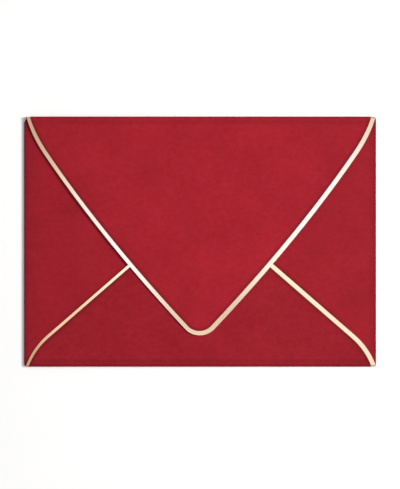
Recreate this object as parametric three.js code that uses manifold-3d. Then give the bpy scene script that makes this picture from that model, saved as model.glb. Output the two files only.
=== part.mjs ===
import * as THREE from 'three';
import { mergeVertices } from 'three/addons/utils/BufferGeometryUtils.js';
import Module from 'manifold-3d';

// Invitation envelope with a deep pointed flap and foil borders, in millimetres.
// It lies closed on its address side: +X to the right, +Y towards the fold of the seal flap, +Z up.
// The origin is the middle of the underside.

// The closed envelope
const envelopeWidth = 176;
const envelopeHeight = 125;
const cornerRadius = 1.5;

// Layers of the stack, from the address side up
const paperThickness = 0.3;
const pocketGap = 0.35;
const glueThickness = 0.05;
const flapClearance = 0.1;
const gumThickness = 0.05;

// The two flaps with foil sit this far to the right of the side folds.
const flapCentreX = 0.5;

// Free end of a side fold at each corner
const cornerNotch = 0.3;

// Seal flap, which turns about the top fold.
// The corner of its shoulder is an inset and a depth from the end of the fold, and is rounded over a run.
const sealRootMargin = 0.5;
const sealShoulderInset = 2.6;
const sealShoulderDepth = 9;
const sealShoulderRun = 9;
const sealSideBow = 2.4;
const sealTipRadius = 10;
const sealTipMargin = 15.7;
const sealTipDrift = -0.6;

// Bottom flap, glued over the side flaps
const bottomRootMargin = 0.15;
const bottomShoulderInset = 3.4;
const bottomShoulderDepth = 9;
const bottomShoulderRun = 6;
const bottomTipRadius = 24;
const bottomFlapHeight = 74.85;

// Side flaps, whose tips lie this far below the edge of the bottom flap
const sideShoulderInset = 1.5;
const sideShoulderDepth = 3;
const sideShoulderRun = 3;
const sideTipRadius = 12;
const sideFlapReach = 72;
const sideTipCover = 16;

// Foil border, stamped flush into the sheet. It narrows towards the folds, and its print is a little off
// the cut: to the left on both flaps and, on the unfolded sheet, downwards.
const foilWidth = 2.02;
const foilRootWidth = 1.85;
const foilTaperRun = 14;
const foilDepth = 0.04;
const sealFoilShiftX = -0.25;
const bottomFoilShiftX = -0.55;
const foilShiftY = -0.17;

// Glue between each side flap and the bottom flap
const glueInset = 1.5;
const glueWidth = 5;
const glueStart = 18;
const glueEnd = 58;

// Gum on the inside of the seal flap
const gumInset = 3.5;
const gumWidth = 9;
const gumStart = 40;

// Points on each curve of an outline, and steps round a fold
const curveSteps = 12;
const foldSteps = 14;
const samePoint = 0.001;

// Heights of the layers
const sideFlapBottom = paperThickness + pocketGap;
const sideFlapTop = sideFlapBottom + paperThickness;
const bottomFlapBottom = sideFlapTop + glueThickness;
const bottomFlapTop = bottomFlapBottom + paperThickness;
const sealFlapBottom = bottomFlapTop + flapClearance + gumThickness;
const sealFlapTop = sealFlapBottom + paperThickness;

// A fold is a half round from the underside up to the outer face of its flap.
const sideFoldRadius = sideFlapTop / 2;
const bottomFoldRadius = bottomFlapTop / 2;
const topFoldRadius = sealFlapTop / 2;

// Lines where the flat sheet ends and the folds begin
const sideFoldX = envelopeWidth / 2 - sideFoldRadius;
const bottomFoldY = -envelopeHeight / 2 + bottomFoldRadius;
const topFoldY = envelopeHeight / 2 - topFoldRadius;

const widestRootHalf = envelopeWidth / 2 - Math.abs(flapCentreX);

const sealFlap = {
  rootHalf: widestRootHalf - sealRootMargin,
  shoulderInset: sealShoulderInset,
  shoulderDepth: sealShoulderDepth,
  shoulderRun: sealShoulderRun,
  sideBow: sealSideBow,
  tipRadius: sealTipRadius,
  reach: topFoldY + envelopeHeight / 2 - sealTipMargin,
};

const bottomFlap = {
  rootHalf: widestRootHalf - bottomRootMargin,
  shoulderInset: bottomShoulderInset,
  shoulderDepth: bottomShoulderDepth,
  shoulderRun: bottomShoulderRun,
  sideBow: 0,
  tipRadius: bottomTipRadius,
  reach: bottomFlapHeight - bottomFoldRadius,
};

const sideFlap = {
  rootHalf: (topFoldY - bottomFoldY) / 2 - cornerNotch,
  shoulderInset: sideShoulderInset,
  shoulderDepth: sideShoulderDepth,
  shoulderRun: sideShoulderRun,
  sideBow: 0,
  tipRadius: sideTipRadius,
  reach: sideFlapReach - sideFoldRadius,
};

const paperMaterial = new THREE.MeshStandardMaterial({ color: 0xa52531, roughness: 0.85, metalness: 0 });
const foilMaterial = new THREE.MeshStandardMaterial({ color: 0xe6c892, roughness: 0.3, metalness: 1 });
const glueMaterial = new THREE.MeshStandardMaterial({ color: 0xe9e2cf, roughness: 0.6, metalness: 0 });
const gumMaterial = new THREE.MeshStandardMaterial({ color: 0x8f3a3c, roughness: 0.3, metalness: 0 });

const wasm = await Module();
wasm.setup();

// Where a line from a point outside a circle touches it, on the side away from the middle line
function tangentPoint(from, centre, radius) {
  const toCentre = centre.clone().sub(from);
  const distance = toCentre.length();
  const angle = toCentre.angle() - Math.asin(radius / distance);
  const length = Math.sqrt(distance * distance - radius * radius);
  return new THREE.Vector2(Math.cos(angle), Math.sin(angle)).multiplyScalar(length).add(from);
}

// Right half of a flap in its own frame: x across the flap from its middle line, y out from its fold.
// A rounded shoulder leads from the end of the fold into a side, which runs into the round tip.
function halfOutline(flap) {
  const root = new THREE.Vector2(flap.rootHalf, 0);
  const shoulder = new THREE.Vector2(flap.rootHalf - flap.shoulderInset, flap.shoulderDepth);
  const tipCentre = new THREE.Vector2(0, flap.reach - flap.tipRadius);
  const sideEnd = tangentPoint(shoulder, tipCentre, flap.tipRadius);
  const along = sideEnd.clone().sub(shoulder).normalize();
  const outward = new THREE.Vector2(along.y, -along.x);
  // A quadratic curve bows half as far as its control point.
  const sideControl = shoulder.clone().lerp(sideEnd, 0.5).addScaledVector(outward, 2 * flap.sideBow);
  const share = flap.shoulderRun / (sideControl.y - shoulder.y);
  const sideStart = shoulder.clone().lerp(sideControl, share);
  const tipStart = tangentPoint(sideControl, tipCentre, flap.tipRadius);
  const startAngle = tipStart.clone().sub(tipCentre).angle();
  const path = new THREE.Path();
  path.moveTo(root.x, root.y);
  path.quadraticCurveTo(shoulder.x, shoulder.y, sideStart.x, sideStart.y);
  path.quadraticCurveTo(sideControl.x, sideControl.y, tipStart.x, tipStart.y);
  path.absarc(tipCentre.x, tipCentre.y, flap.tipRadius, startAngle, Math.PI / 2, false);
  // Two curves that meet both give the point where they do.
  const points = path.getPoints(curveSteps).filter((point, index, all) => (
    index === 0 || point.distanceTo(all[index - 1]) > samePoint
  ));
  points[points.length - 1].x = 0;
  return points;
}

// The stretch of a line of points that lies between two limits on one axis, cut at both
function stretchBetween(points, axis, low, high) {
  const kept = [];
  points.forEach((point, index) => {
    const before = points[index - 1];
    [low, high].forEach((limit) => {
      if (before && before[axis] < limit !== point[axis] < limit) {
        const share = (limit - before[axis]) / (point[axis] - before[axis]);
        const crossing = before.clone().lerp(point, share);
        crossing[axis] = limit;
        kept.push(crossing);
      }
    });
    if (point[axis] >= low && point[axis] <= high) kept.push(point);
  });
  return kept;
}

// A half outline moved inwards, up to the middle line, by a distance that depends on the depth
function insetHalf(half, distanceAt) {
  const moved = half.map((point, index) => {
    const before = half[Math.max(index - 1, 0)];
    const after = half[Math.min(index + 1, half.length - 1)];
    const along = after.clone().sub(before).normalize();
    if (index === half.length - 1) along.set(-1, 0);
    const distance = distanceAt(point.y);
    return new THREE.Vector2(point.x - along.y * distance, point.y + along.x * distance);
  });
  return stretchBetween(moved, 'x', 0, Infinity);
}

// The part of an inset half outline that lies between two depths
function insetBetween(half, distance, fromDepth, toDepth) {
  return stretchBetween(insetHalf(half, () => distance), 'y', fromDepth, toDepth);
}

function mirrorAcross(half) {
  return half.map((point) => new THREE.Vector2(-point.x, point.y)).reverse();
}

// From the right end of the fold, round the tip, to the left end
function wholeOutline(half) {
  return [...half, ...mirrorAcross(half).slice(1)];
}

// Between two open lines of points that run the same way
function ringOutline(outer, inner) {
  return [...outer, ...[...inner].reverse()];
}

// Flat sheet of the given outline between two heights
function sheet(points, bottom, top) {
  const shape = new THREE.Shape(points);
  const geometry = new THREE.ExtrudeGeometry(shape, { depth: top - bottom, bevelEnabled: false });
  return geometry.translate(0, 0, bottom);
}

function toSolid(geometry) {
  const bare = geometry.clone();
  bare.deleteAttribute('normal');
  bare.deleteAttribute('uv');
  const merged = mergeVertices(bare);
  return new wasm.Manifold(new wasm.Mesh({
    numProp: 3,
    vertProperties: new Float32Array(merged.attributes.position.array),
    triVerts: new Uint32Array(merged.index.array),
  }));
}

function toGeometry(solid) {
  const mesh = solid.getMesh();
  const geometry = new THREE.BufferGeometry();
  geometry.setAttribute('position', new THREE.BufferAttribute(new Float32Array(mesh.vertProperties), 3));
  geometry.setIndex(new THREE.BufferAttribute(new Uint32Array(mesh.triVerts), 1));
  geometry.computeVertexNormals();
  return geometry;
}

// Sheet of a flap with its border pressed down by the depth of the foil
function borderedSheet(outer, inner, bottom, top) {
  const floor = top - foilDepth;
  return toGeometry(toSolid(sheet(outer, bottom, floor)).add(toSolid(sheet(inner, floor, top))));
}

const sealHalf = halfOutline(sealFlap);
const bottomHalf = halfOutline(bottomFlap);
const sideHalf = halfOutline(sideFlap);

// The tips of the side flaps stay under the bottom flap, whose edge they follow up and down.
const bottomEdgeAtTip = stretchBetween(bottomHalf, 'x', envelopeWidth / 2 - sideFlapReach, Infinity).at(-1);
const sideTipY = bottomFoldY + bottomEdgeAtTip.y - sideTipCover;
const sideCentreY = (topFoldY + bottomFoldY) / 2;

// From a flap's own frame to the sheet's plane
const sealToSheet = (point) => new THREE.Vector2(
  flapCentreX + point.x + sealTipDrift * (point.y / sealFlap.reach),
  topFoldY - point.y,
);
const bottomToSheet = (point) => new THREE.Vector2(flapCentreX + point.x, bottomFoldY + point.y);
const sideToSheet = (side) => (point) => new THREE.Vector2(
  side * (sideFoldX - point.y),
  sideCentreY + point.x + (sideTipY - sideCentreY) * (point.y / sideFlap.reach),
);

function foilWidthAt(depth) {
  return THREE.MathUtils.lerp(foilRootWidth, foilWidth, THREE.MathUtils.smoothstep(depth, 0, foilTaperRun));
}

// Inner edge of the foil on a flap: the cut moved inwards, then by the print's shift
function foilInnerEdge(half, shift) {
  const shifted = wholeOutline(insetHalf(half, foilWidthAt)).map((point) => point.clone().add(shift));
  return stretchBetween(shifted, 'y', 0, Infinity);
}

// Half-round strip along a fold. It stands outward from the line through start and runs for a length.
function foldStrip(outward, start, length, radius) {
  const profile = new THREE.Shape();
  profile.absarc(0, 0, radius, -Math.PI / 2, Math.PI / 2, false);
  profile.absarc(0, 0, radius - paperThickness, Math.PI / 2, -Math.PI / 2, true);
  const geometry = new THREE.ExtrudeGeometry(profile, {
    depth: length,
    bevelEnabled: false,
    curveSegments: foldSteps,
  });
  const up = new THREE.Vector3(0, 0, 1);
  const along = outward.clone().cross(up);
  geometry.applyMatrix4(new THREE.Matrix4().makeBasis(outward, up, along));
  return geometry.translate(start.x, start.y, radius);
}

// Panel on the address side: a plate with round corners, less the strips where the folds start
function backPanelGeometry() {
  const halfWidth = envelopeWidth / 2;
  const halfHeight = envelopeHeight / 2;
  const plate = new THREE.Shape();
  plate.absarc(halfWidth - cornerRadius, halfHeight - cornerRadius, cornerRadius, 0, Math.PI / 2, false);
  plate.absarc(cornerRadius - halfWidth, halfHeight - cornerRadius, cornerRadius, Math.PI / 2, Math.PI, false);
  plate.absarc(cornerRadius - halfWidth, cornerRadius - halfHeight, cornerRadius, Math.PI, 1.5 * Math.PI, false);
  plate.absarc(halfWidth - cornerRadius, cornerRadius - halfHeight, cornerRadius, 1.5 * Math.PI, 2 * Math.PI, false);
  const solid = toSolid(new THREE.ExtrudeGeometry(plate, {
    depth: paperThickness,
    bevelEnabled: false,
    curveSegments: foldSteps,
  }));
  const pastEdge = 1;
  const zone = (left, right, bottom, top) => toSolid(sheet([
    new THREE.Vector2(left, bottom),
    new THREE.Vector2(right, bottom),
    new THREE.Vector2(right, top),
    new THREE.Vector2(left, top),
  ], -pastEdge, paperThickness + pastEdge));
  const sealLeft = flapCentreX - sealFlap.rootHalf;
  const sealRight = flapCentreX + sealFlap.rootHalf;
  const bottomLeft = flapCentreX - bottomFlap.rootHalf;
  const bottomRight = flapCentreX + bottomFlap.rootHalf;
  const sideLow = sideCentreY - sideFlap.rootHalf;
  const sideHigh = sideCentreY + sideFlap.rootHalf;
  const cut = solid
    .subtract(zone(-halfWidth - pastEdge, -sideFoldX, sideLow, sideHigh))
    .subtract(zone(sideFoldX, halfWidth + pastEdge, sideLow, sideHigh))
    .subtract(zone(sealLeft, sealRight, topFoldY, halfHeight + pastEdge))
    .subtract(zone(bottomLeft, bottomRight, -halfHeight - pastEdge, bottomFoldY));
  return toGeometry(cut);
}

function addPiece(parent, name, geometry, material) {
  const mesh = new THREE.Mesh(geometry, material);
  mesh.name = name;
  parent.add(mesh);
  return mesh;
}

const xAxis = new THREE.Vector3(1, 0, 0);
const yAxis = new THREE.Vector3(0, 1, 0);

function addSidePieces(parent, prefix, side) {
  const toSheet = sideToSheet(side);
  const flap = sheet(wholeOutline(sideHalf).map(toSheet), sideFlapBottom, sideFlapTop);
  addPiece(parent, `${prefix}_side_flap`, flap, paperMaterial);
  const outward = xAxis.clone().multiplyScalar(side);
  const start = new THREE.Vector2(side * sideFoldX, sideCentreY + side * sideFlap.rootHalf);
  const strip = foldStrip(outward, start, 2 * sideFlap.rootHalf, sideFoldRadius);
  addPiece(parent, `${prefix}_fold`, strip, paperMaterial);
  // The glue follows the lower edge of the side flap, which lies under the bottom flap.
  const outer = insetBetween(sideHalf, glueInset, glueStart, glueEnd);
  const inner = insetBetween(sideHalf, glueInset + glueWidth, glueStart, glueEnd);
  const seam = mirrorAcross(ringOutline(outer, inner)).map(toSheet);
  addPiece(parent, `${prefix}_glue_seam`, sheet(seam, sideFlapTop, bottomFlapBottom), glueMaterial);
}

function addBottomFlap(parent) {
  const outer = wholeOutline(bottomHalf).map(bottomToSheet);
  // This flap runs down on the unfolded sheet, so the print's shift along Y counts the other way.
  const printShift = new THREE.Vector2(bottomFoilShiftX, -foilShiftY);
  const inner = foilInnerEdge(bottomHalf, printShift).map(bottomToSheet);
  const flap = borderedSheet(outer, inner, bottomFlapBottom, bottomFlapTop);
  addPiece(parent, 'bottom_flap', flap, paperMaterial);
  const foil = sheet(ringOutline(outer, inner), bottomFlapTop - foilDepth, bottomFlapTop);
  addPiece(parent, 'bottom_flap_foil', foil, foilMaterial);
  const outward = yAxis.clone().negate();
  const start = new THREE.Vector2(flapCentreX + bottomFlap.rootHalf, bottomFoldY);
  const strip = foldStrip(outward, start, 2 * bottomFlap.rootHalf, bottomFoldRadius);
  addPiece(parent, 'bottom_fold', strip, paperMaterial);
}

function addTopFold(parent) {
  const start = new THREE.Vector2(flapCentreX - sealFlap.rootHalf, topFoldY);
  const strip = foldStrip(yAxis, start, 2 * sealFlap.rootHalf, topFoldRadius);
  addPiece(parent, 'top_fold', strip, paperMaterial);
}

// The seal flap hangs on a group whose origin is the axis of the top fold.
function addSealFlap(parent) {
  const pivot = new THREE.Group();
  pivot.position.set(0, topFoldY, topFoldRadius);
  parent.add(pivot);
  const toPivot = (geometry) => geometry.translate(0, -topFoldY, -topFoldRadius);
  const outer = wholeOutline(sealHalf).map(sealToSheet);
  const printShift = new THREE.Vector2(sealFoilShiftX, foilShiftY);
  const inner = foilInnerEdge(sealHalf, printShift).map(sealToSheet);
  const flap = borderedSheet(outer, inner, sealFlapBottom, sealFlapTop);
  addPiece(pivot, 'seal_flap', toPivot(flap), paperMaterial);
  const foil = sheet(ringOutline(outer, inner), sealFlapTop - foilDepth, sealFlapTop);
  addPiece(pivot, 'seal_flap_foil', toPivot(foil), foilMaterial);
  const gumOuter = wholeOutline(insetBetween(sealHalf, gumInset, gumStart, Infinity));
  const gumInner = wholeOutline(insetBetween(sealHalf, gumInset + gumWidth, gumStart, Infinity));
  const gum = ringOutline(gumOuter, gumInner).map(sealToSheet);
  addPiece(pivot, 'seal_gum', toPivot(sheet(gum, sealFlapBottom - gumThickness, sealFlapBottom)), gumMaterial);
}

const envelope = new THREE.Group();
addPiece(envelope, 'back_panel', backPanelGeometry(), paperMaterial);
addSidePieces(envelope, 'left', -1);
addSidePieces(envelope, 'right', 1);
addBottomFlap(envelope);
addTopFold(envelope);
addSealFlap(envelope);

export default envelope;
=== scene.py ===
import math
import bpy
import bmesh
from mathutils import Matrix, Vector, noise


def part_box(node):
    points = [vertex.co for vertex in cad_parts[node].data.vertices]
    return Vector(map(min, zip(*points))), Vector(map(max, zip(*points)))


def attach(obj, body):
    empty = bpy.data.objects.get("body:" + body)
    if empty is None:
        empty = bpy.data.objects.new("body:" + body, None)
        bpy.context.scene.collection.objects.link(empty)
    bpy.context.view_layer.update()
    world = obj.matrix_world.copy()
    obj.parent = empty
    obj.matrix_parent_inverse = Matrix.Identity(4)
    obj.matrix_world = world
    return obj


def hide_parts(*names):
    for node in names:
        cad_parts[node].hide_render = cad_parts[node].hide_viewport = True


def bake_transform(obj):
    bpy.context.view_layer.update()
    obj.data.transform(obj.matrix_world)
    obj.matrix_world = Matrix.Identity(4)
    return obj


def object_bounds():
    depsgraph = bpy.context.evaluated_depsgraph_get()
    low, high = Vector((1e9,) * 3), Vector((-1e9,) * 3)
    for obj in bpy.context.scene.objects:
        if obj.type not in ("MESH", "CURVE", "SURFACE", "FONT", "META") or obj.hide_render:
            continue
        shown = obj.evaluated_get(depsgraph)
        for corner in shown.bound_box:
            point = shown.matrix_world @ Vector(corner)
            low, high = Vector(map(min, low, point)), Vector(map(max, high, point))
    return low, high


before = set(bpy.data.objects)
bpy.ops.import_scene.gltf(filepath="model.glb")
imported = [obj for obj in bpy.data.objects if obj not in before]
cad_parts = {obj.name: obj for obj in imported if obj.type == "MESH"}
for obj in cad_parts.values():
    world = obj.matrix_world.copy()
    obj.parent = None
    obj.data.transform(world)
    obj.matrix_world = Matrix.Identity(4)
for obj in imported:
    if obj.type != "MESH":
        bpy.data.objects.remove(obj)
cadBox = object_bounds()

mm = 0.001

# The sheet's own sizes, read off the frame
panelLow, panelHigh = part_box("back_panel")
topFoldLow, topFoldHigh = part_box("top_fold")
bottomFoldLow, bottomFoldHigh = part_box("bottom_fold")
leftFoldLow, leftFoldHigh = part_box("left_fold")
rightFoldLow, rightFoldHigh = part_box("right_fold")
cardThickness = panelHigh.z - panelLow.z

sheetSettings = {
    "cutEdgeRadius": 0.07 * mm,   # soft lip that the cutting die leaves
    "gridStep": 5 * mm,           # the flat layers are cut this fine so that they can sag
    "pocketSag": 0.25 * mm,       # the empty pocket lets the glued flaps sink in the middle
    "sealSag": 0.04 * mm,         # the unsealed flap hardly does
    "sagRun": 24 * mm,
    "waveDepth": 0.04 * mm,
    "waveLength": 38 * mm,
    "panelBow": 0.02 * mm,        # the address side lifts a little in its middle
    "foldLead": 0.35 * mm,        # flat lip where a fold runs into its flap
    "foldSteps": 28,
    "drawnOut": 8 * mm,           # a flap is this much longer while its edges are worked
    "pressRun": 2.0 * mm,         # how far the dark of the pressed step reaches
    "sharpAngle": math.radians(20),
}

foilSettings = {
    "softEdge": 0.12 * mm,
    "pressDepth": 0.015 * mm,
    "sharpAngle": math.radians(4),
    "facesUp": 0.5,               # where a face's normal rises less than this, it is a cut side
    "lift": 0.02 * mm,            # the film stands this far off a rounded fold
    "sink": 0.01 * mm,
    "foldTurn": math.radians(105),    # how far round a fold the film runs
    "foldSteps": 16,
    "runOut": 0.95,               # the bottom border nearly ends in a point at its left corner
}


# Materials

def newMaterial(name):
    material = bpy.data.materials.new(name)
    material.use_nodes = True
    nodes = material.node_tree.nodes
    shader = nodes["Principled BSDF"]
    return material, nodes, material.node_tree.links, shader


def objectNoise(nodes, links, scale, detail, roughness, stretch=(1, 1, 1), offset=(0, 0, 0)):
    coords = nodes.new("ShaderNodeTexCoord")
    mapping = nodes.new("ShaderNodeMapping")
    mapping.inputs["Scale"].default_value = stretch
    mapping.inputs["Location"].default_value = offset
    texture = nodes.new("ShaderNodeTexNoise")
    texture.inputs["Scale"].default_value = scale
    texture.inputs["Detail"].default_value = detail
    texture.inputs["Roughness"].default_value = roughness
    links.new(coords.outputs["Object"], mapping.inputs["Vector"])
    links.new(mapping.outputs["Vector"], texture.inputs["Vector"])
    return texture.outputs["Fac"]


def ramp(nodes, links, source, stops):
    colorRamp = nodes.new("ShaderNodeValToRGB")
    elements = colorRamp.color_ramp.elements
    while len(elements) < len(stops):
        elements.new(0.5)
    for element, (position, color) in zip(elements, stops):
        element.position = position
        element.color = (*color, 1)
    links.new(source, colorRamp.inputs["Fac"])
    return colorRamp.outputs["Color"]


def mixColors(nodes, links, factor, first, second, blendType="MIX"):
    mix = nodes.new("ShaderNodeMix")
    mix.data_type = "RGBA"
    mix.blend_type = blendType
    if isinstance(factor, float):
        mix.inputs["Factor"].default_value = factor
    else:
        links.new(factor, mix.inputs["Factor"])
    # the node has sockets for several kinds of value, and these ones are for colours
    for socket, value in ((mix.inputs[6], first), (mix.inputs[7], second)):
        if isinstance(value, tuple):
            socket.default_value = (*value, 1)
        else:
            links.new(value, socket)
    return mix.outputs[2]


noiseSpread = (0.3, 0.7)              # a noise texture hardly leaves this range


def spreadRamp(nodes, links, source, dark, light):
    return ramp(nodes, links, source, [(noiseSpread[0], dark), (noiseSpread[1], light)])


def mapValue(nodes, links, source, low, high):
    spread = nodes.new("ShaderNodeMapRange")
    spread.inputs["From Min"].default_value = noiseSpread[0]
    spread.inputs["From Max"].default_value = noiseSpread[1]
    spread.inputs["To Min"].default_value = low
    spread.inputs["To Max"].default_value = high
    links.new(source, spread.inputs["Value"])
    return spread.outputs["Result"]


def bumpFrom(nodes, links, height, distance, strength, before=None):
    bump = nodes.new("ShaderNodeBump")
    bump.inputs["Distance"].default_value = distance
    bump.inputs["Strength"].default_value = strength
    links.new(height, bump.inputs["Height"])
    if before is not None:
        links.new(before, bump.inputs["Normal"])
    return bump.outputs["Normal"]


redCard = {
    "deep": (0.335, 0.0128, 0.0246),
    "light": (0.386, 0.0163, 0.0302),
    "clouds": {"scale": 42, "detail": 3, "roughness": 0.55},
    "mottle": {"scale": 420, "detail": 4, "roughness": 0.65, "stretch": (1, 1.3, 1)},
    "fibres": {"scale": 2600, "detail": 3, "roughness": 0.6, "stretch": (1, 0.45, 1)},
    "roughness": (0.8, 0.92),
    "gloss": 0.12,
    "sheen": 0.06,
    "sheenRoughness": 0.45,
    "sheenTint": (1.0, 0.45, 0.5, 1),
    "mottleBump": (0.03 * mm, 0.35),  # depth and strength
    "fibreBump": (0.02 * mm, 0.4),
    "speck": (0.9, 0.58, 0.6),    # tint of the darker specks in the mottle
    "pressAndShadowTone": 0.6,             # along the pressed step beside the foil, and for the painted shadow beside the bottom flap
    # painted shade against the distance from the middle, in mm: the card is painted darker round each fold
    # and its crease
    "across": [(0, 1.0), (38, 1.0), (64, 0.94), (85.6, 0.93), (86.9, 0.8), (88, 0.62)],
    "up": [
        (0, 1.0), (57.5, 1.0), (58.6, 0.95), (59.3, 0.87), (59.9, 0.84), (60.4, 0.91), (60.9, 0.96),
        (61.4, 0.93), (61.9, 0.74), (62.5, 0.66),
    ],
}

# each part of the sheet is painted a little darker or lighter for the light it catches there: painted
# shade
cardSettings = {
    "panel": {"tone": 1.0},
    "seal_flap": {"tone": 0.985},
    "left_flap": {
        "tone": 0.93,
        "across": [
            (0, 1.0), (38, 1.0), (64, 0.94), (78, 0.93), (82.5, 0.88), (84.9, 0.84), (85.5, 0.85),
            (86, 0.82), (86.5, 0.785), (87, 0.685), (87.5, 0.57), (88, 0.52),
        ],
    },
    "right_flap": {
        "tone": 0.94,
        "across": [
            (0, 1.0), (38, 1.0), (64, 0.94), (84.2, 0.93), (85.05, 0.85), (85.55, 0.82), (86.05, 0.875),
            (86.55, 0.785), (87.05, 0.71), (88, 0.6),
        ],
    },
    "bottom_flap": {
        "tone": 0.88,
        "speck": (0.84, 0.53, 0.55),
        "up": [
            (0, 1.0), (58.5, 1.0), (59.2, 0.82), (59.7, 0.8), (60.3, 0.91), (60.7, 0.89), (61.2, 0.8),
            (61.7, 0.72), (62.5, 0.62),
        ],
    },
}


toneSpan = 100                        # a tone ramp reaches this far from the middle, in mm


def paintedFoldShade(nodes, links, axis, stops):
    # painted shade round the folds and creases: a grey that depends on how far a point lies from the
    # middle on one axis
    coords = nodes.new("ShaderNodeTexCoord")
    split = nodes.new("ShaderNodeSeparateXYZ")
    links.new(coords.outputs["Object"], split.inputs["Vector"])
    distance = nodes.new("ShaderNodeMath")
    distance.operation = "ABSOLUTE"
    links.new(split.outputs[axis], distance.inputs[0])
    share = nodes.new("ShaderNodeMath")
    share.operation = "DIVIDE"
    links.new(distance.outputs["Value"], share.inputs[0])
    share.inputs[1].default_value = toneSpan * mm
    greys = [(place / toneSpan, (tone, tone, tone)) for place, tone in stops]
    return ramp(nodes, links, share.outputs["Value"], greys)


def pressAndShadowTones(nodes, links):
    # darkens where the attribute is set: the pressed step beside the foil, and the painted shadow beside
    # the bottom flap
    pressed = nodes.new("ShaderNodeAttribute")
    pressed.attribute_name = "pressAndShadow"
    tone = redCard["pressAndShadowTone"]
    return ramp(nodes, links, pressed.outputs["Fac"], [(0, (1.0, 1.0, 1.0)), (1, (tone, tone, tone))])


def makeCardMaterial(part):
    # velvety dyed card: slow clouds in the dye, a fine mottle, and fibres in the bump
    material, nodes, links, shader = newMaterial("red_card_" + part)
    settings = {**redCard, **cardSettings[part]}
    tone = settings["tone"]
    clouds = objectNoise(nodes, links, **redCard["clouds"])
    mottle = objectNoise(nodes, links, **redCard["mottle"])
    fibres = objectNoise(nodes, links, **redCard["fibres"])
    # painted shade: each part's tone darkens its copy of the dye
    deep = tuple(value * tone for value in redCard["deep"])
    light = tuple(value * tone for value in redCard["light"])
    dye = spreadRamp(nodes, links, clouds, deep, light)
    speck = spreadRamp(nodes, links, mottle, settings["speck"], (1.0, 1.0, 1.0))
    color = mixColors(nodes, links, 1.0, dye, speck, "MULTIPLY")
    # painted shade: the two fold ramps darken the card round the folds and creases, and the last darkens
    # the pressed step and paints the shadow beside the bottom flap
    shades = (
        paintedFoldShade(nodes, links, "X", settings["across"]),
        paintedFoldShade(nodes, links, "Y", settings["up"]),
        pressAndShadowTones(nodes, links),
    )
    for shade in shades:
        color = mixColors(nodes, links, 1.0, color, shade, "MULTIPLY")
    links.new(color, shader.inputs["Base Color"])
    links.new(mapValue(nodes, links, mottle, *redCard["roughness"]), shader.inputs["Roughness"])
    shader.inputs["Specular IOR Level"].default_value = redCard["gloss"]
    shader.inputs["Sheen Weight"].default_value = redCard["sheen"]
    shader.inputs["Sheen Roughness"].default_value = redCard["sheenRoughness"]
    shader.inputs["Sheen Tint"].default_value = redCard["sheenTint"]
    soft = bumpFrom(nodes, links, mottle, *redCard["mottleBump"])
    links.new(bumpFrom(nodes, links, fibres, *redCard["fibreBump"], soft), shader.inputs["Normal"])
    return material


champagneFoil = {
    "dark": (0.98, 0.76, 0.51),
    "light": (1.0, 0.8, 0.55),
    "drift": {"scale": 90, "detail": 2, "roughness": 0.5, "offset": (0.013, 0.021, 0)},
    "driftSpread": (0.35, 0.65),
    "grain": {"scale": 1900, "detail": 3, "roughness": 0.6},
    "grainBump": (0.004 * mm, 0.05),  # depth and strength
    "roughness": (0.1, 0.14),
    "cutRoughness": (0.5, 0.65),   # the cut sides of the film don't shine
    "lowFoilShade": (1.0, 0.94, 0.82),  # painted shade: the bottom flap's border is a darker, warmer copy of the same foil
}


def makeFoilMaterial(name, tint=(1.0, 1.0, 1.0), roughness=champagneFoil["roughness"]):
    # hot-stamped film: metal over card, so the fibres show faintly through the shine
    material, nodes, links, shader = newMaterial(name)
    drift = objectNoise(nodes, links, **champagneFoil["drift"])
    grain = objectNoise(nodes, links, **champagneFoil["grain"])
    low, high = champagneFoil["driftSpread"]
    gold = ramp(nodes, links, drift, [(low, champagneFoil["dark"]), (high, champagneFoil["light"])])
    links.new(mixColors(nodes, links, 1.0, gold, tint, "MULTIPLY"), shader.inputs["Base Color"])
    links.new(mapValue(nodes, links, grain, *roughness), shader.inputs["Roughness"])
    shader.inputs["Metallic"].default_value = 1.0
    links.new(bumpFrom(nodes, links, grain, *champagneFoil["grainBump"]), shader.inputs["Normal"])
    return material


driedGum = {
    "dark": (0.25, 0.014, 0.024),
    "light": (0.31, 0.024, 0.034),
    "pools": {"scale": 160, "detail": 3, "roughness": 0.5},
    "pores": {"scale": 1400, "detail": 2, "roughness": 0.5},
    "roughness": (0.12, 0.26),
    "poolBump": (0.08 * mm, 0.25),    # depth and strength
    "poreBump": (0.01 * mm, 0.3),
}


def makeGumMaterial(name):
    # clear gum, dried glossy over the red card
    material, nodes, links, shader = newMaterial(name)
    pools = objectNoise(nodes, links, **driedGum["pools"])
    pores = objectNoise(nodes, links, **driedGum["pores"])
    tint = spreadRamp(nodes, links, pools, driedGum["dark"], driedGum["light"])
    links.new(tint, shader.inputs["Base Color"])
    links.new(mapValue(nodes, links, pools, *driedGum["roughness"]), shader.inputs["Roughness"])
    waves = bumpFrom(nodes, links, pools, *driedGum["poolBump"])
    links.new(bumpFrom(nodes, links, pores, *driedGum["poreBump"], waves), shader.inputs["Normal"])
    return material


driedGlue = {
    "dark": (0.62, 0.55, 0.43),
    "light": (0.8, 0.75, 0.64),
    "pools": {"scale": 260, "detail": 3, "roughness": 0.55},
    "grains": {"scale": 1800, "detail": 2, "roughness": 0.5},
    "roughness": (0.4, 0.62),
    "grainBump": (0.02 * mm, 0.4),    # depth and strength
}


def makeGlueMaterial(name):
    # white glue, dried to a cloudy ivory film
    material, nodes, links, shader = newMaterial(name)
    pools = objectNoise(nodes, links, **driedGlue["pools"])
    grains = objectNoise(nodes, links, **driedGlue["grains"])
    tint = spreadRamp(nodes, links, pools, driedGlue["dark"], driedGlue["light"])
    links.new(tint, shader.inputs["Base Color"])
    links.new(mapValue(nodes, links, grains, *driedGlue["roughness"]), shader.inputs["Roughness"])
    links.new(bumpFrom(nodes, links, grains, *driedGlue["grainBump"]), shader.inputs["Normal"])
    return material


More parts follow.
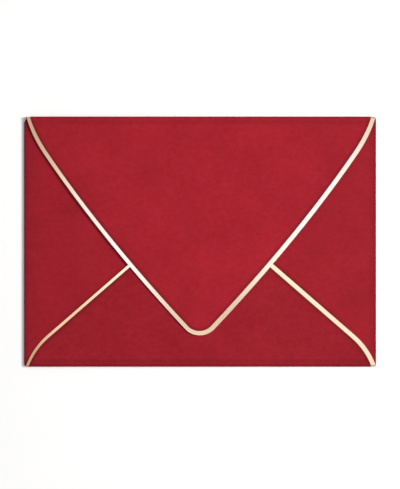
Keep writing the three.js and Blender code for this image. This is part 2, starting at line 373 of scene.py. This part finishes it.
panelCard = makeCardMaterial("panel")
sealCard = makeCardMaterial("seal_flap")
leftCard = makeCardMaterial("left_flap")
rightCard = makeCardMaterial("right_flap")
bottomCard = makeCardMaterial("bottom_flap")
sealFoil = makeFoilMaterial("champagne_foil_seal_flap")
# painted shade: a darker, warmer copy of the seal flap's foil
bottomFoil = makeFoilMaterial("champagne_foil_bottom_flap", champagneFoil["lowFoilShade"])
cutFoil = makeFoilMaterial("champagne_foil_cut_side", roughness=champagneFoil["cutRoughness"])
gumFinish = makeGumMaterial("dried_gum")
glueFinish = makeGlueMaterial("dried_glue")
print("materials made")


# Mesh helpers

meshSettings = {
    "samePoint": 0.001 * mm,
    "onPlane": 0.0001 * mm,
    "near": 0.01 * mm,
    "flatAngle": math.radians(0.5),   # faces that lean less than this are one flat face
    "lipAngle": math.radians(60),     # edges that turn more than this are cut edges
    "lipSegments": 2,
    "lipProfile": 0.5,                # a round lip
}


def vertsOf(items):
    return [item for item in items if isinstance(item, bmesh.types.BMVert)]


def edgesOf(items):
    return [item for item in items if isinstance(item, bmesh.types.BMEdge)]


def joinFlatFaces(bm):
    bmesh.ops.dissolve_limit(bm, angle_limit=meshSettings["flatAngle"], verts=bm.verts, edges=bm.edges)


def weldedCopy(node):
    # A CAD node's mesh is loose triangles. The copy is welded and rid of slivers, and its flat faces are
    # made whole.
    bm = bmesh.new()
    bm.from_mesh(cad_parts[node].data)
    bmesh.ops.remove_doubles(bm, verts=bm.verts, dist=meshSettings["samePoint"])
    bmesh.ops.dissolve_degenerate(bm, edges=bm.edges, dist=meshSettings["samePoint"])
    joinFlatFaces(bm)
    return bm


def cutAt(bm, point, normal, drop=False):
    geometry = bm.verts[:] + bm.edges[:] + bm.faces[:]
    return bmesh.ops.bisect_plane(
        bm, geom=geometry, dist=meshSettings["onPlane"], plane_co=point, plane_no=normal, clear_outer=drop
    )


def cutGrid(bm, step):
    # evenly spaced cuts along X and Y give the flat layers enough points to bend
    for axis in (0, 1):
        low = min(v.co[axis] for v in bm.verts)
        high = max(v.co[axis] for v in bm.verts)
        for index in range(math.floor(low / step) + 1, math.ceil(high / step)):
            point = Vector((0, 0, 0))
            point[axis] = index * step
            normal = Vector((0, 0, 0))
            normal[axis] = 1
            cutAt(bm, point, normal)


def softenCutEdges(bm, width):
    # rounds the lip along every cut
    lips = [edge for edge in bm.edges if edge.calc_face_angle(0) > meshSettings["lipAngle"]]
    bmesh.ops.bevel(
        bm, geom=lips, offset=width, offset_type="OFFSET", segments=meshSettings["lipSegments"],
        profile=meshSettings["lipProfile"], affect="EDGES", material=-1, clamp_overlap=True,
    )


def smoothStep(value):
    value = min(max(value, 0), 1)
    return value * value * (3 - 2 * value)


def ease(x, y):
    # 0 along the folds and 1 well inside
    run = sheetSettings["sagRun"]
    across = smoothStep((cadBox[1].x - abs(x)) / run)
    down = smoothStep((cadBox[1].y - y) / run)
    up = smoothStep((y - cadBox[0].y) / run)
    return across * down * up


def sag(x, y, depth):
    wave = noise.noise(Vector((x, y, 0)) / sheetSettings["waveLength"])
    return -ease(x, y) * (depth + sheetSettings["waveDepth"] * wave)


def sagOfPocket(x, y):
    return sag(x, y, sheetSettings["pocketSag"])


def sagOfSeal(x, y):
    return sag(x, y, sheetSettings["sealSag"])


def bowOfPanel(x, y):
    return ease(x, y) * sheetSettings["panelBow"]


def bendBy(bm, heightAt):
    for vert in bm.verts:
        vert.co.z += heightAt(vert.co.x, vert.co.y)


def makePiece(bm, name, material, sharpAngle=sheetSettings["sharpAngle"]):
    bmesh.ops.recalc_face_normals(bm, faces=bm.faces)
    for face in bm.faces:
        face.smooth = True
    for edge in bm.edges:
        edge.smooth = edge.calc_face_angle(math.pi) < sharpAngle
    mesh = bpy.data.meshes.new(name)
    bm.to_mesh(mesh)
    bm.free()
    mesh.materials.append(material)
    piece = bpy.data.objects.new(name, mesh)
    bpy.context.scene.collection.objects.link(piece)
    return piece


cornerSettings = {
    # the upper left corner is worn off along the line through these two points
    "low": Vector((-88.1 * mm, 58.9 * mm, 0)),
    "high": Vector((-86.7 * mm, 62.4 * mm, 0)),
}


def closeCut(bm, cut):
    rim = [edge for edge in edgesOf(cut) if edge.is_boundary]
    if rim:
        bmesh.ops.edgeloop_fill(bm, edges=rim)


def wearCorner(bm):
    along = cornerSettings["high"] - cornerSettings["low"]
    outward = Vector((-along.y, along.x, 0)).normalized()
    closeCut(bm, cutAt(bm, cornerSettings["low"], outward, drop=True)["geom_cut"])


# Folds: the card's cross-section is swung half a turn round the fold's axis, with a flat lip at each end

def rolledFold(low, high, outward):
    lead = sheetSettings["foldLead"]
    radius = (high.z - low.z) / 2
    along = Vector((abs(outward.y), abs(outward.x), 0))
    # corner where the fold starts, on the side away from its outward direction
    start = Vector((
        low.x if outward.x >= 0 else high.x,
        low.y if outward.y >= 0 else high.y,
        low.z,
    ))
    length = (high - low).dot(along)
    if start.dot(along) > low.dot(along) + length / 2:
        start -= along * length
    bm = bmesh.new()
    first = bm.verts.new(start - outward * lead)
    second = bm.verts.new(start - outward * lead + Vector((0, 0, cardThickness)))
    section = [bm.edges.new((first, second))]

    def sweep(offset):
        nonlocal section
        swept = bmesh.ops.extrude_edge_only(bm, edges=section)["geom"]
        moved = vertsOf(swept)
        bmesh.ops.translate(bm, verts=moved, vec=offset)
        section = [edge for edge in edgesOf(swept) if all(vert in moved for vert in edge.verts)]

    sweep(outward * lead)
    axis = outward.cross(Vector((0, 0, 1)))
    spun = bmesh.ops.spin(
        bm, geom=section + [vert for edge in section for vert in edge.verts],
        cent=start + Vector((0, 0, radius)), axis=axis, angle=math.pi,
        steps=sheetSettings["foldSteps"], use_merge=False, use_duplicate=False,
    )["geom_last"]
    section = edgesOf(spun)
    sweep(-outward * lead)
    pushed = bmesh.ops.extrude_face_region(bm, geom=bm.faces[:])["geom"]
    bmesh.ops.translate(bm, verts=vertsOf(pushed), vec=along * length)
    return bm


foldMakers = {
    "left_fold": (leftFoldLow, leftFoldHigh, Vector((-1, 0, 0)), leftCard),
    "right_fold": (rightFoldLow, rightFoldHigh, Vector((1, 0, 0)), rightCard),
    "bottom_fold": (bottomFoldLow, bottomFoldHigh, Vector((0, -1, 0)), bottomCard),
    "top_fold": (topFoldLow, topFoldHigh, Vector((0, 1, 0)), sealCard),
}

for foldName, (low, high, outward, card) in foldMakers.items():
    bm = rolledFold(low, high, outward)
    if foldName == "left_fold":
        wearCorner(bm)
    fold = makePiece(bm, foldName + "_card", card)
    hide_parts(foldName)
    if foldName == "top_fold":
        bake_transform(fold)
    else:
        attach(fold, "envelope_body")
print("folds made")


# Flat layers

lead = sheetSettings["foldLead"]
rootLines = {
    "left": leftFoldHigh.x + lead,
    "right": rightFoldLow.x - lead,
    "bottom": bottomFoldHigh.y + lead,
    "top": topFoldLow.y - lead,
}

rootPlanes = {
    "left": (Vector((rootLines["left"], 0, 0)), Vector((-1, 0, 0))),
    "right": (Vector((rootLines["right"], 0, 0)), Vector((1, 0, 0))),
    "bottom": (Vector((0, rootLines["bottom"], 0)), Vector((0, -1, 0))),
    "top": (Vector((0, rootLines["top"], 0)), Vector((0, 1, 0))),
}


def topFaces(bm):
    top = max(vert.co.z for vert in bm.verts)
    return [face for face in bm.faces if face.calc_center_median().z > top - meshSettings["samePoint"]]


def insetFlat(bm, faces, width):
    bmesh.ops.inset_region(
        bm, faces=faces, thickness=width, depth=0, use_even_offset=True, use_boundary=True,
    )


def markPress(bm):
    # the step beside the foil is pressed dark, which fades out over a short run
    pressAndShadow = bm.verts.layers.float.new("pressAndShadow")
    faces = topFaces(bm)
    low = faces[0].calc_center_median().z - sheetSettings["cutEdgeRadius"] - meshSettings["near"]
    insetFlat(bm, faces, sheetSettings["pressRun"])
    middle = {vert for face in faces for vert in face.verts}
    for vert in bm.verts:
        if vert not in middle and vert.co.z > low:
            vert[pressAndShadow] = 1


# painted shadow on the side flaps beside the bottom flap's edge: where it lies and how dark it is
shadowBesideSettings = {
    "straight": (20 * mm, 74 * mm),  # stretch of the bottom flap's edge that is straight
    "lean": 0.87,                    # roughly how fast it falls away
    "band": 1 * mm,                  # the foil's outer points lie within this of the outermost
    "places": (-0.6 * mm, 0, 0.5 * mm, 1.1 * mm, 2.2 * mm),
    "values": (0, 1, 1, 0.45, 0),
    "fade": (68 * mm, 76 * mm),      # the painted shadow runs out before the shoulder
    # strength of the painted shadow on each side
    "left": 0.45,
    "right": 0.8,
}


def edgeOfBottomFlap(side):
    # the straight stretch follows y = reach - slope * abs(x)
    low, high = shadowBesideSettings["straight"]
    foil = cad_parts["bottom_flap_foil"].data.vertices
    band = [(abs(vert.co.x), vert.co.y) for vert in foil if low < vert.co.x * side < high]
    lean = shadowBesideSettings["lean"]
    limit = max(y + lean * x for x, y in band) - shadowBesideSettings["band"]
    outer = sorted((x, y) for x, y in band if y + lean * x > limit)
    slope = (outer[0][1] - outer[-1][1]) / (outer[-1][0] - outer[0][0])
    return slope, outer[0][1] + slope * outer[0][0]


def valueAt(place, places, values):
    if not places[0] < place < places[-1]:
        return 0
    index = max(i for i, start in enumerate(places) if start <= place)
    share = (place - places[index]) / (places[index + 1] - places[index])
    return values[index] + (values[index + 1] - values[index]) * share


def paintShadowBesideBottomFlap(bm, root):
    # painted shadow: the card is painted a little darker along the edge of the bottom flap that is glued
    # over it
    side = -1 if root == "left" else 1
    slope, reach = edgeOfBottomFlap(side)
    away = Vector((side * slope, 1, 0)).normalized()
    origin = Vector((0, reach, 0))
    for place in shadowBesideSettings["places"]:
        cutAt(bm, origin + away * place, away)
    pressAndShadow = bm.verts.layers.float.new("pressAndShadow")
    top = max(vert.co.z for vert in bm.verts)
    start, end = shadowBesideSettings["fade"]
    for vert in bm.verts:
        distance = (vert.co - origin).dot(away)
        inStretch = 1 - smoothStep((abs(vert.co.x) - start) / (end - start))
        if vert.co.z > top - meshSettings["near"]:
            value = valueAt(distance, shadowBesideSettings["places"], shadowBesideSettings["values"])
            vert[pressAndShadow] = value * inStretch * shadowBesideSettings[root]


def flatLayer(node, name, material, root, heightAt, body, pressed=False):
    # The flat layer gives up the lip that its fold already has. It is drawn out past that line while its
    # edges are worked, so that they run straight through to the cut.
    bm = weldedCopy(node)
    point, normal = rootPlanes[root]
    cutAt(bm, point, normal)
    for vert in bm.verts:
        if (vert.co - point).dot(normal) > meshSettings["near"]:
            vert.co += normal * sheetSettings["drawnOut"]
    softenCutEdges(bm, sheetSettings["cutEdgeRadius"])
    if pressed:
        markPress(bm)
    closeCut(bm, cutAt(bm, point, normal, drop=True)["geom_cut"])
    if root == "left":
        wearCorner(bm)
    cutGrid(bm, sheetSettings["gridStep"])
    if root in ("left", "right"):
        paintShadowBesideBottomFlap(bm, root)
    bendBy(bm, heightAt)
    piece = makePiece(bm, name, material)
    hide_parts(node)
    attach(piece, body)


flatLayer("left_side_flap", "left_side_flap_card", leftCard, "left", sagOfPocket, "envelope_body")
flatLayer("right_side_flap", "right_side_flap_card", rightCard, "right", sagOfPocket, "envelope_body")
flatLayer(
    "bottom_flap", "bottom_flap_card", bottomCard, "bottom", sagOfPocket, "envelope_body", pressed=True
)
flatLayer("seal_flap", "seal_flap_card", sealCard, "top", sagOfSeal, "seal_flap_body", pressed=True)
print("flaps made")


# Back panel: its middle gives up the lips of all four folds, and its corners stay

def backPanel():
    bm = weldedCopy("back_panel")
    wearCorner(bm)
    spans = {
        "left": (leftFoldLow.y, leftFoldHigh.y),
        "right": (rightFoldLow.y, rightFoldHigh.y),
        "bottom": (bottomFoldLow.x, bottomFoldHigh.x),
        "top": (topFoldLow.x, topFoldHigh.x),
    }
    # the lips lie inside the panel's edge, so each is cut free along three lines and its faces go
    for x in (rootLines["left"], rootLines["right"], *spans["bottom"], *spans["top"]):
        cutAt(bm, Vector((x, 0, 0)), Vector((1, 0, 0)))
    for y in (rootLines["bottom"], rootLines["top"], *spans["left"], *spans["right"]):
        cutAt(bm, Vector((0, y, 0)), Vector((0, 1, 0)))

    def inLip(place):
        x, y = place.x, place.y
        return (
            (x < rootLines["left"] and spans["left"][0] < y < spans["left"][1])
            or (x > rootLines["right"] and spans["right"][0] < y < spans["right"][1])
            or (y < rootLines["bottom"] and spans["bottom"][0] < x < spans["bottom"][1])
            or (y > rootLines["top"] and spans["top"][0] < x < spans["top"][1])
        )

    # what is left of the upper face is drawn down to the card's thickness again
    kept = {face for face in topFaces(bm) if not inLip(face.calc_center_median())}
    bmesh.ops.delete(bm, geom=[face for face in bm.faces if face not in kept], context="FACES")
    joinFlatFaces(bm)
    drawn = bmesh.ops.extrude_face_region(bm, geom=bm.faces[:])["geom"]
    bmesh.ops.translate(bm, verts=vertsOf(drawn), vec=(0, 0, -cardThickness))
    cutGrid(bm, sheetSettings["gridStep"])
    bendBy(bm, bowOfPanel)
    piece = makePiece(bm, "back_panel_card", panelCard)
    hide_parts("back_panel")
    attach(piece, "envelope_body")


backPanel()
print("back panel made")


# Foil borders: the die presses the middle of the band a little below its edges

def dullCutSides(piece):
    piece.data.materials.append(cutFoil)
    for polygon in piece.data.polygons:
        polygon.material_index = 0 if polygon.normal.z > foilSettings["facesUp"] else 1


def foilBorder(node, name, material, root, heightAt, body):
    bm = weldedCopy(node)
    point, normal = rootPlanes[root]
    cutAt(bm, point, normal, drop=True)
    for side in (-1, 1):
        # the two ends of the band are closed one by one
        end = [edge for edge in bm.edges if edge.is_boundary and edge.verts[0].co.x * side > 0]
        bmesh.ops.edgeloop_fill(bm, edges=end)
    faces = topFaces(bm)
    insetFlat(bm, faces, foilSettings["softEdge"])
    for vert in {vert for face in faces for vert in face.verts}:
        vert.co.z -= foilSettings["pressDepth"]
    cutGrid(bm, sheetSettings["gridStep"])
    bendBy(bm, heightAt)
    piece = makePiece(bm, name, material, foilSettings["sharpAngle"])
    dullCutSides(piece)
    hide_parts(node)
    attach(piece, body)


foilBorder("seal_flap_foil", "seal_flap_foil_band", sealFoil, "top", sagOfSeal, "seal_flap_body")
foilBorder("bottom_flap_foil", "bottom_flap_foil_band", bottomFoil, "bottom", sagOfPocket, "envelope_body")
print("foil borders made")


# Foil that runs on round the folds, at both ends of each border

def foilEnds(node, foldY):
    # where the band crosses the fold line: its outer and inner x on the left, then those on the right
    near = meshSettings["samePoint"]
    bm = weldedCopy(node)
    crossing = sorted(vert.co.x for vert in bm.verts if abs(vert.co.y - foldY) < near)
    bm.free()
    left = [x for x in crossing if x < 0]
    right = [x for x in crossing if x > 0]
    return (left[0], left[-1]), (right[-1], right[0])


def foldFilm(name, material, node, foldY, radius, outward, taperLeft):
    bm = bmesh.new()
    inner = radius - foilSettings["sink"]
    outer = radius + foilSettings["lift"]
    lead = sheetSettings["foldLead"]
    for (rim, edge), taper in zip(foilEnds(node, foldY), (taperLeft, 0)):
        made = bmesh.ops.create_vert(bm, co=(rim, foldY - outward * lead, radius + inner))["vert"]
        made += bmesh.ops.create_vert(bm, co=(edge, foldY - outward * lead, radius + inner))["vert"]
        strip = [bm.edges.new(made)]
        grown = bmesh.ops.extrude_edge_only(bm, edges=strip)["geom"]
        ends = vertsOf(grown)
        bmesh.ops.translate(bm, verts=ends, vec=(0, 0, outer - inner))
        section = [face for face in bm.faces if all(vert in made + ends for vert in face.verts)]
        grown = bmesh.ops.extrude_face_region(bm, geom=section)["geom"]
        bmesh.ops.translate(bm, verts=vertsOf(grown), vec=(0, outward * lead, 0))
        front = [item for item in grown if isinstance(item, bmesh.types.BMFace)]
        bmesh.ops.spin(
            bm, geom=front, cent=(0, foldY, radius), axis=(-outward, 0, 0), angle=foilSettings["foldTurn"],
            steps=foilSettings["foldSteps"], use_merge=False, use_duplicate=False,
        )
        inside = [face for face in bm.faces if all(len(edge.link_faces) > 2 for edge in face.edges)]
        bmesh.ops.delete(bm, geom=inside, context="FACES_ONLY")
        for vert in bm.verts:
            # the band can run out to a point by the time it reaches the silhouette
            if vert.co.x * rim > 0:
                share = min(max((vert.co.y - foldY) * outward / radius, 0), 1)
                vert.co.x += (rim - vert.co.x) * share * taper
    piece = makePiece(bm, name, material)
    return piece


topFilm = foldFilm("top_fold_film", sealFoil, "seal_flap_foil", topFoldLow.y, topFoldHigh.z / 2, 1, 0)
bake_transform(topFilm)
bottomFilm = foldFilm(
    "bottom_fold_film", bottomFoil, "bottom_flap_foil", bottomFoldHigh.y, bottomFoldHigh.z / 2, -1,
    foilSettings["runOut"],
)
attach(bottomFilm, "envelope_body")
print("foil on the folds made")


# Gum and glue films

filmSettings = {"edgeRadius": 0.02 * mm}


def film(node, name, material, heightAt, body):
    bm = weldedCopy(node)
    softenCutEdges(bm, filmSettings["edgeRadius"])
    cutGrid(bm, sheetSettings["gridStep"])
    bendBy(bm, heightAt)
    piece = makePiece(bm, name, material)
    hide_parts(node)
    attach(piece, body)


film("seal_gum", "seal_gum_band", gumFinish, sagOfSeal, "seal_flap_body")
film("left_glue_seam", "left_glue_line", glueFinish, sagOfPocket, "envelope_body")
film("right_glue_seam", "right_glue_line", glueFinish, sagOfPocket, "envelope_body")
print("gum and glue made")


# Floor

floorSettings = {
    "halfSize": 2.5,
    "below": 0.01 * mm,
    "dark": (0.95, 0.95, 0.945),
    "light": (0.97, 0.97, 0.965),
    "clouds": {"scale": 6, "detail": 2, "roughness": 0.5},
    "roughness": 0.9,
    "gloss": 0.1,
}


def makeFloorMaterial(name):
    material, nodes, links, shader = newMaterial(name)
    clouds = objectNoise(nodes, links, **floorSettings["clouds"])
    tint = spreadRamp(nodes, links, clouds, floorSettings["dark"], floorSettings["light"])
    links.new(tint, shader.inputs["Base Color"])
    shader.inputs["Roughness"].default_value = floorSettings["roughness"]
    shader.inputs["Specular IOR Level"].default_value = floorSettings["gloss"]
    return material


floorMesh = bmesh.new()
bmesh.ops.create_grid(floorMesh, x_segments=1, y_segments=1, size=floorSettings["halfSize"])
bmesh.ops.translate(floorMesh, verts=floorMesh.verts, vec=(0, 0, -floorSettings["below"]))
floor = makePiece(floorMesh, "floor", makeFloorMaterial("pale_floor"))


# Camera, straight above as in the photo

cameraSettings = {
    "lens": 100,
    "sensor": 36,
    "viewHeight": 244.1 * mm,     # height of the photo's frame at the flap's face
    "centre": (-0.03 * mm, -1.455 * mm),
}

cameraData = bpy.data.cameras.new("camera")
cameraData.lens = cameraSettings["lens"]
cameraData.sensor_width = cameraSettings["sensor"]
camera = bpy.data.objects.new("camera", cameraData)
cameraDistance = cameraSettings["viewHeight"] * cameraSettings["lens"] / cameraSettings["sensor"]
camera.location = (*cameraSettings["centre"], cadBox[1].z + cameraDistance)
bpy.context.scene.collection.objects.link(camera)
bpy.context.scene.camera = camera
print("camera set")


# Light: a key from the right, and soft panels overhead that only the foil mirrors

lightSettings = {
    # brightness of the room against the sine of the elevation: pale walls under a dimmer ceiling
    "world": [(0, 0.85), (0.2, 0.85), (0.5, 0.4)],
    "key": {"place": (1.35, 0.24, 0.85), "size": (0.45, 0.45), "watts": 32.3, "color": (1.0, 0.99, 0.97)},
    "panelHeight": 1.3,
    "panelSpacing": 0.01,         # light from a higher panel passes through the lower ones
}

# zone of the envelope, in mm, that mirrors each panel, and the light that the panel adds there
panelSettings = {
    "ceiling_panel": {"zone": (-110, -85, 110, 85), "turn": 0, "adds": (0.25, 0.08, 0.07)},
    "cream_panel": {"zone": (-70, -26, 102, 65), "turn": 16, "adds": (0.3, 0.44, 0.38)},
    "middle_panel": {"zone": (-60, -15, 86, 54), "turn": 16, "adds": (0.15, 0.38, 1.0)},
    "lower_right_panel": {"zone": (36, -76, 104, -9), "turn": 0, "adds": (0.42, 0.71, 1.02)},
    "lower_left_panel": {"zone": (-76, -46, -50, -20), "turn": 0, "adds": (0.42, 0.3, 0.42)},
    "left_warm_panel": {"zone": (-50, -32, -28, -8), "turn": 0, "adds": (0.25, 0.08, 0.01)},
    "tip_panel": {"zone": (-12, -64, 12, -44), "turn": 0, "adds": (0.6, 0.88, 0.82)},
}


def softBox(name, place, size, watts, color, turn=0, aim=(0, 0, 0)):
    light = bpy.data.lights.new(name, "AREA")
    light.shape = "RECTANGLE"
    light.size, light.size_y = size
    light.energy = watts
    light.color = color
    box = bpy.data.objects.new(name, light)
    box.location = place
    box.rotation_euler = (Vector(aim) - Vector(place)).to_track_quat("-Z", "Y").to_euler()
    box.rotation_euler.z += math.radians(turn)
    bpy.context.scene.collection.objects.link(box)


softBox("key_light", **lightSettings["key"])
for index, (panelName, panel) in enumerate(panelSettings.items()):
    height = lightSettings["panelHeight"] - index * lightSettings["panelSpacing"]
    mirrorScale = 1 + height / cameraDistance
    low = Vector(panel["zone"][:2]) * mirrorScale * mm
    high = Vector(panel["zone"][2:]) * mirrorScale * mm
    size = high - low
    centre = (low + high) / 2
    brightest = max(panel["adds"])
    softBox(
        panelName, (*centre, height), tuple(size),
        watts=brightest * math.pi * size.x * size.y,
        color=tuple(value / brightest for value in panel["adds"]),
        turn=panel["turn"], aim=(*centre, 0),
    )

world = bpy.data.worlds.new("studio")
world.use_nodes = True
worldNodes = world.node_tree.nodes
worldLinks = world.node_tree.links
direction = worldNodes.new("ShaderNodeTexCoord")
elevation = worldNodes.new("ShaderNodeSeparateXYZ")
worldLinks.new(direction.outputs["Generated"], elevation.inputs["Vector"])
roomStops = [(place, (value, value, value)) for place, value in lightSettings["world"]]
roomLight = ramp(worldNodes, worldLinks, elevation.outputs["Z"], roomStops)
worldLinks.new(roomLight, worldNodes["Background"].inputs["Color"])
bpy.context.scene.world = world
bpy.context.scene.view_settings.view_transform = "Standard"
print("light set")
